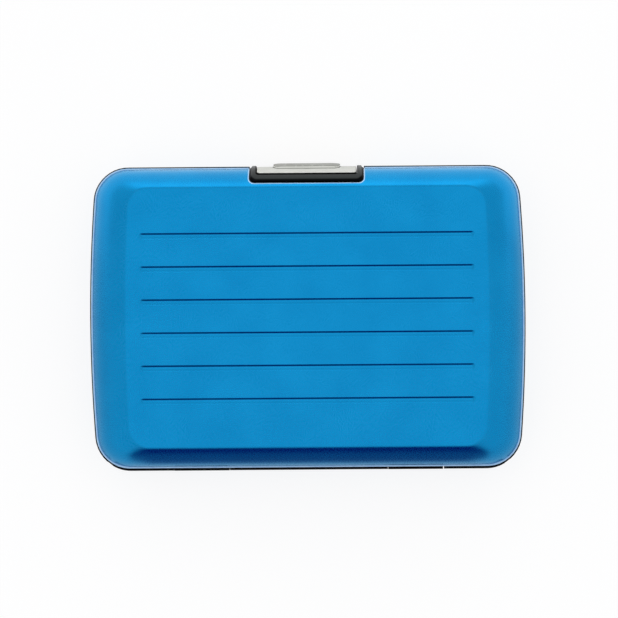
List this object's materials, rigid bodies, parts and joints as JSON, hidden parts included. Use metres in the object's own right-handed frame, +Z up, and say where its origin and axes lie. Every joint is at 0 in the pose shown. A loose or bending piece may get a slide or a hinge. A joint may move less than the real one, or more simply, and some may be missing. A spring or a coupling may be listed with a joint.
{
  "type": "credit card holder",
  "caption": "Pocket card case: two hinged grooved aluminium shells on black moulded frames, closed by a sprung push clasp, with a fan of film card pockets inside",
  "frame": {"origin": "on the surface that the closed case lies on, under the middle of its shells", "axes": "+X along the long sides, +Y from the hinge to the clasp, +Z up through the thickness, from the rear shell to the front shell"},
  "size_m": [0.11, 0.0775, 0.021],
  "materials": {
    "anodised_shell": "matt blue anodised, fine satin grain, bare bright cut edges",
    "black_moulding": "fine matt moulding texture",
    "grey_clasp": "light warm grey, satin",
    "pin_steel": "bright drawn wire",
    "pocket_film": "dark grey polypropylene film with a fine matt emboss"
  },
  "bodies": {
    "rear": {"rear_shell": "anodised_shell", "rear_frame": "black_moulding", "rear_liner": "black_moulding", "rear_clasp_housing": "black_moulding", "clasp_pin": "pin_steel", "clasp_spring": "pin_steel", "hinge_pin_left": "pin_steel", "hinge_pin_right": "pin_steel", "pocket_wall_rear": "pocket_film", "gusset_left": "pocket_film", "gusset_right": "pocket_film", "pocket_base": "pocket_film"},
    "lid": {"front_shell": "anodised_shell", "front_frame": "black_moulding", "front_liner": "black_moulding", "front_clasp_housing": "black_moulding", "pocket_wall_front": "pocket_film"},
    "clasp": {"clasp_lever": "grey_clasp"},
    "pocket_1": {"divider_1": "pocket_film"},
    "pocket_2": {"divider_2": "pocket_film"},
    "pocket_3": {"divider_3": "pocket_film"},
    "pocket_4": {"divider_4": "pocket_film"},
    "pocket_5": {"divider_5": "pocket_film"},
    "pocket_6": {"divider_6": "pocket_film"}
  },
  "joints": [
    {"name": "lid_hinge", "type": "hinge", "parent": "rear", "child": "lid", "pos_m": [0, -0.03735, 0.0105], "axis": [1, 0, 0], "range_deg": [0, 77], "deforming": ["gusset_left", "gusset_right", "pocket_base"]},
    {"name": "clasp_press", "type": "hinge", "parent": "rear", "child": "clasp", "pos_m": [0, 0.03458, 0.00699], "axis": [-1, 0, 0], "range_deg": [0, 12], "stiffness_Nm_per_rad": 0.08, "springref_deg": -8.59, "deforming": ["clasp_spring"]},
    {"name": "divider_1_turn", "type": "hinge", "parent": "rear", "child": "pocket_1", "pos_m": [0, -0.03735, 0.0105], "axis": [1, 0, 0], "range_deg": [0, 11]},
    {"name": "divider_2_turn", "type": "hinge", "parent": "rear", "child": "pocket_2", "pos_m": [0, -0.03735, 0.0105], "axis": [1, 0, 0], "range_deg": [0, 22]},
    {"name": "divider_3_turn", "type": "hinge", "parent": "rear", "child": "pocket_3", "pos_m": [0, -0.03735, 0.0105], "axis": [1, 0, 0], "range_deg": [0, 33]},
    {"name": "divider_4_turn", "type": "hinge", "parent": "rear", "child": "pocket_4", "pos_m": [0, -0.03735, 0.0105], "axis": [1, 0, 0], "range_deg": [0, 44]},
    {"name": "divider_5_turn", "type": "hinge", "parent": "rear", "child": "pocket_5", "pos_m": [0, -0.03735, 0.0105], "axis": [1, 0, 0], "range_deg": [0, 55]},
    {"name": "divider_6_turn", "type": "hinge", "parent": "rear", "child": "pocket_6", "pos_m": [0, -0.03735, 0.0105], "axis": [1, 0, 0], "range_deg": [0, 66]}
  ],
  "couplings": [
    {"joint": "divider_1_turn", "follows": "lid_hinge", "ratio": 0.14286},
    {"joint": "divider_2_turn", "follows": "lid_hinge", "ratio": 0.28571},
    {"joint": "divider_3_turn", "follows": "lid_hinge", "ratio": 0.42857},
    {"joint": "divider_4_turn", "follows": "lid_hinge", "ratio": 0.57143},
    {"joint": "divider_5_turn", "follows": "lid_hinge", "ratio": 0.71429},
    {"joint": "divider_6_turn", "follows": "lid_hinge", "ratio": 0.85714}
  ]
}
